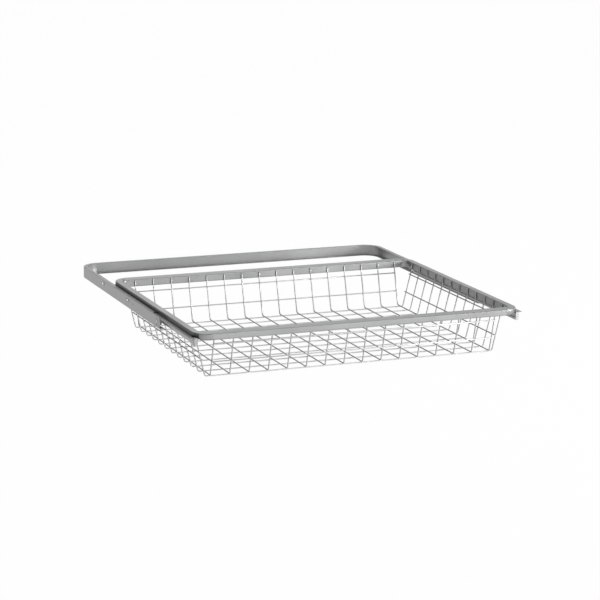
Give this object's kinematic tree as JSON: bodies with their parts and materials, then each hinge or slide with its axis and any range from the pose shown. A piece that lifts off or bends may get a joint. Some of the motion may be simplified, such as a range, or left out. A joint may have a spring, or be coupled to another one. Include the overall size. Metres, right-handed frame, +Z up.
{
  "type": "pull-out wire basket",
  "caption": "Shallow welded wire basket with a flanged rim, hung between two roller runners that slide out of a U-shaped channel frame screwed inside a cabinet.",
  "frame": {"origin": "centre of the rear face of the frame's back rail, level with the centre line of the channel", "axes": "+Y points to the back, along the runners and away from the person who pulls the basket; +Z points up out of the basket; +X points to the right side of the cabinet seen from the front"},
  "size_m": [0.712, 0.7606, 0.0981],
  "materials": {
    "frame_coat": "satin metallic grey coat",
    "rim_coat": "satin metallic grey coat",
    "runner_coat": "satin metallic grey coat",
    "wire_coat": "satin metallic grey coat",
    "rivet_steel": "zinc plated",
    "roller_plastic": "moulded, matt",
    "cap_plastic": "moulded, matt light grey"
  },
  "bodies": {
    "frame": {"u_frame": "frame_coat", "front_roller_rivet_left": "rivet_steel", "front_roller_rivet_right": "rivet_steel"},
    "left_slide": {"runner_left": "runner_coat", "rear_roller_rivet_left": "rivet_steel", "runner_front_cap_left": "cap_plastic", "runner_rear_catch_left": "cap_plastic"},
    "right_slide": {"runner_right": "runner_coat", "rear_roller_rivet_right": "rivet_steel", "runner_front_cap_right": "cap_plastic", "runner_rear_catch_right": "cap_plastic"},
    "front_roller_left_body": {"front_roller_left": "roller_plastic"},
    "front_roller_right_body": {"front_roller_right": "roller_plastic"},
    "rear_roller_left_body": {"rear_roller_left": "roller_plastic"},
    "rear_roller_right_body": {"rear_roller_right": "roller_plastic"},
    "basket": {"basket_rim": "rim_coat", "long_wire_01": "wire_coat", "long_wire_02": "wire_coat", "long_wire_03": "wire_coat", "long_wire_04": "wire_coat", "long_wire_05": "wire_coat", "long_wire_06": "wire_coat", "long_wire_07": "wire_coat", "long_wire_08": "wire_coat", "long_wire_09": "wire_coat", "long_wire_10": "wire_coat", "long_wire_11": "wire_coat", "long_wire_12": "wire_coat", "long_wire_13": "wire_coat", "long_wire_14": "wire_coat", "long_wire_15": "wire_coat", "long_wire_16": "wire_coat", "cross_wire_01": "wire_coat", "cross_wire_02": "wire_coat", "cross_wire_03": "wire_coat", "cross_wire_04": "wire_coat", "cross_wire_05": "wire_coat", "cross_wire_06": "wire_coat", "cross_wire_07": "wire_coat", "cross_wire_08": "wire_coat", "cross_wire_09": "wire_coat", "cross_wire_10": "wire_coat", "cross_wire_11": "wire_coat", "cross_wire_12": "wire_coat", "front_wall_wire_1": "wire_coat", "front_wall_wire_2": "wire_coat", "back_wall_wire_1": "wire_coat", "back_wall_wire_2": "wire_coat", "left_wall_wire_1": "wire_coat", "left_wall_wire_2": "wire_coat", "right_wall_wire_1": "wire_coat", "right_wall_wire_2": "wire_coat"}
  },
  "joints": [
    {"name": "slide_left", "type": "slide", "parent": "frame", "child": "left_slide", "axis": [0, -1, 0], "range_m": [-0.195, 0.145]},
    {"name": "slide_right", "type": "slide", "parent": "frame", "child": "right_slide", "axis": [0, -1, 0], "range_m": [-0.195, 0.145]},
    {"name": "basket_lift", "type": "slide", "parent": "left_slide", "child": "basket", "axis": [0, 0, 1], "range_m": [0, 0.12]},
    {"name": "front_roller_spin_left", "type": "hinge", "parent": "frame", "child": "front_roller_left_body", "pos_m": [-0.35, -0.548, 0.0007], "axis": [1, 0, 0], "continuous": true},
    {"name": "rear_roller_spin_left", "type": "hinge", "parent": "left_slide", "child": "rear_roller_left_body", "pos_m": [-0.35, -0.237, -0.0027], "axis": [1, 0, 0], "continuous": true},
    {"name": "front_roller_spin_right", "type": "hinge", "parent": "frame", "child": "front_roller_right_body", "pos_m": [0.35, -0.548, 0.0007], "axis": [1, 0, 0], "continuous": true},
    {"name": "rear_roller_spin_right", "type": "hinge", "parent": "right_slide", "child": "rear_roller_right_body", "pos_m": [0.35, -0.237, -0.0027], "axis": [1, 0, 0], "continuous": true}
  ],
  "couplings": [
    {"joint": "slide_right", "follows": "slide_left", "ratio": 1},
    {"joint": "front_roller_spin_left", "follows": "slide_left", "rad_per_m": 125},
    {"joint": "rear_roller_spin_left", "follows": "slide_left", "rad_per_m": 125},
    {"joint": "front_roller_spin_right", "follows": "slide_left", "rad_per_m": 125},
    {"joint": "rear_roller_spin_right", "follows": "slide_left", "rad_per_m": 125}
  ]
}
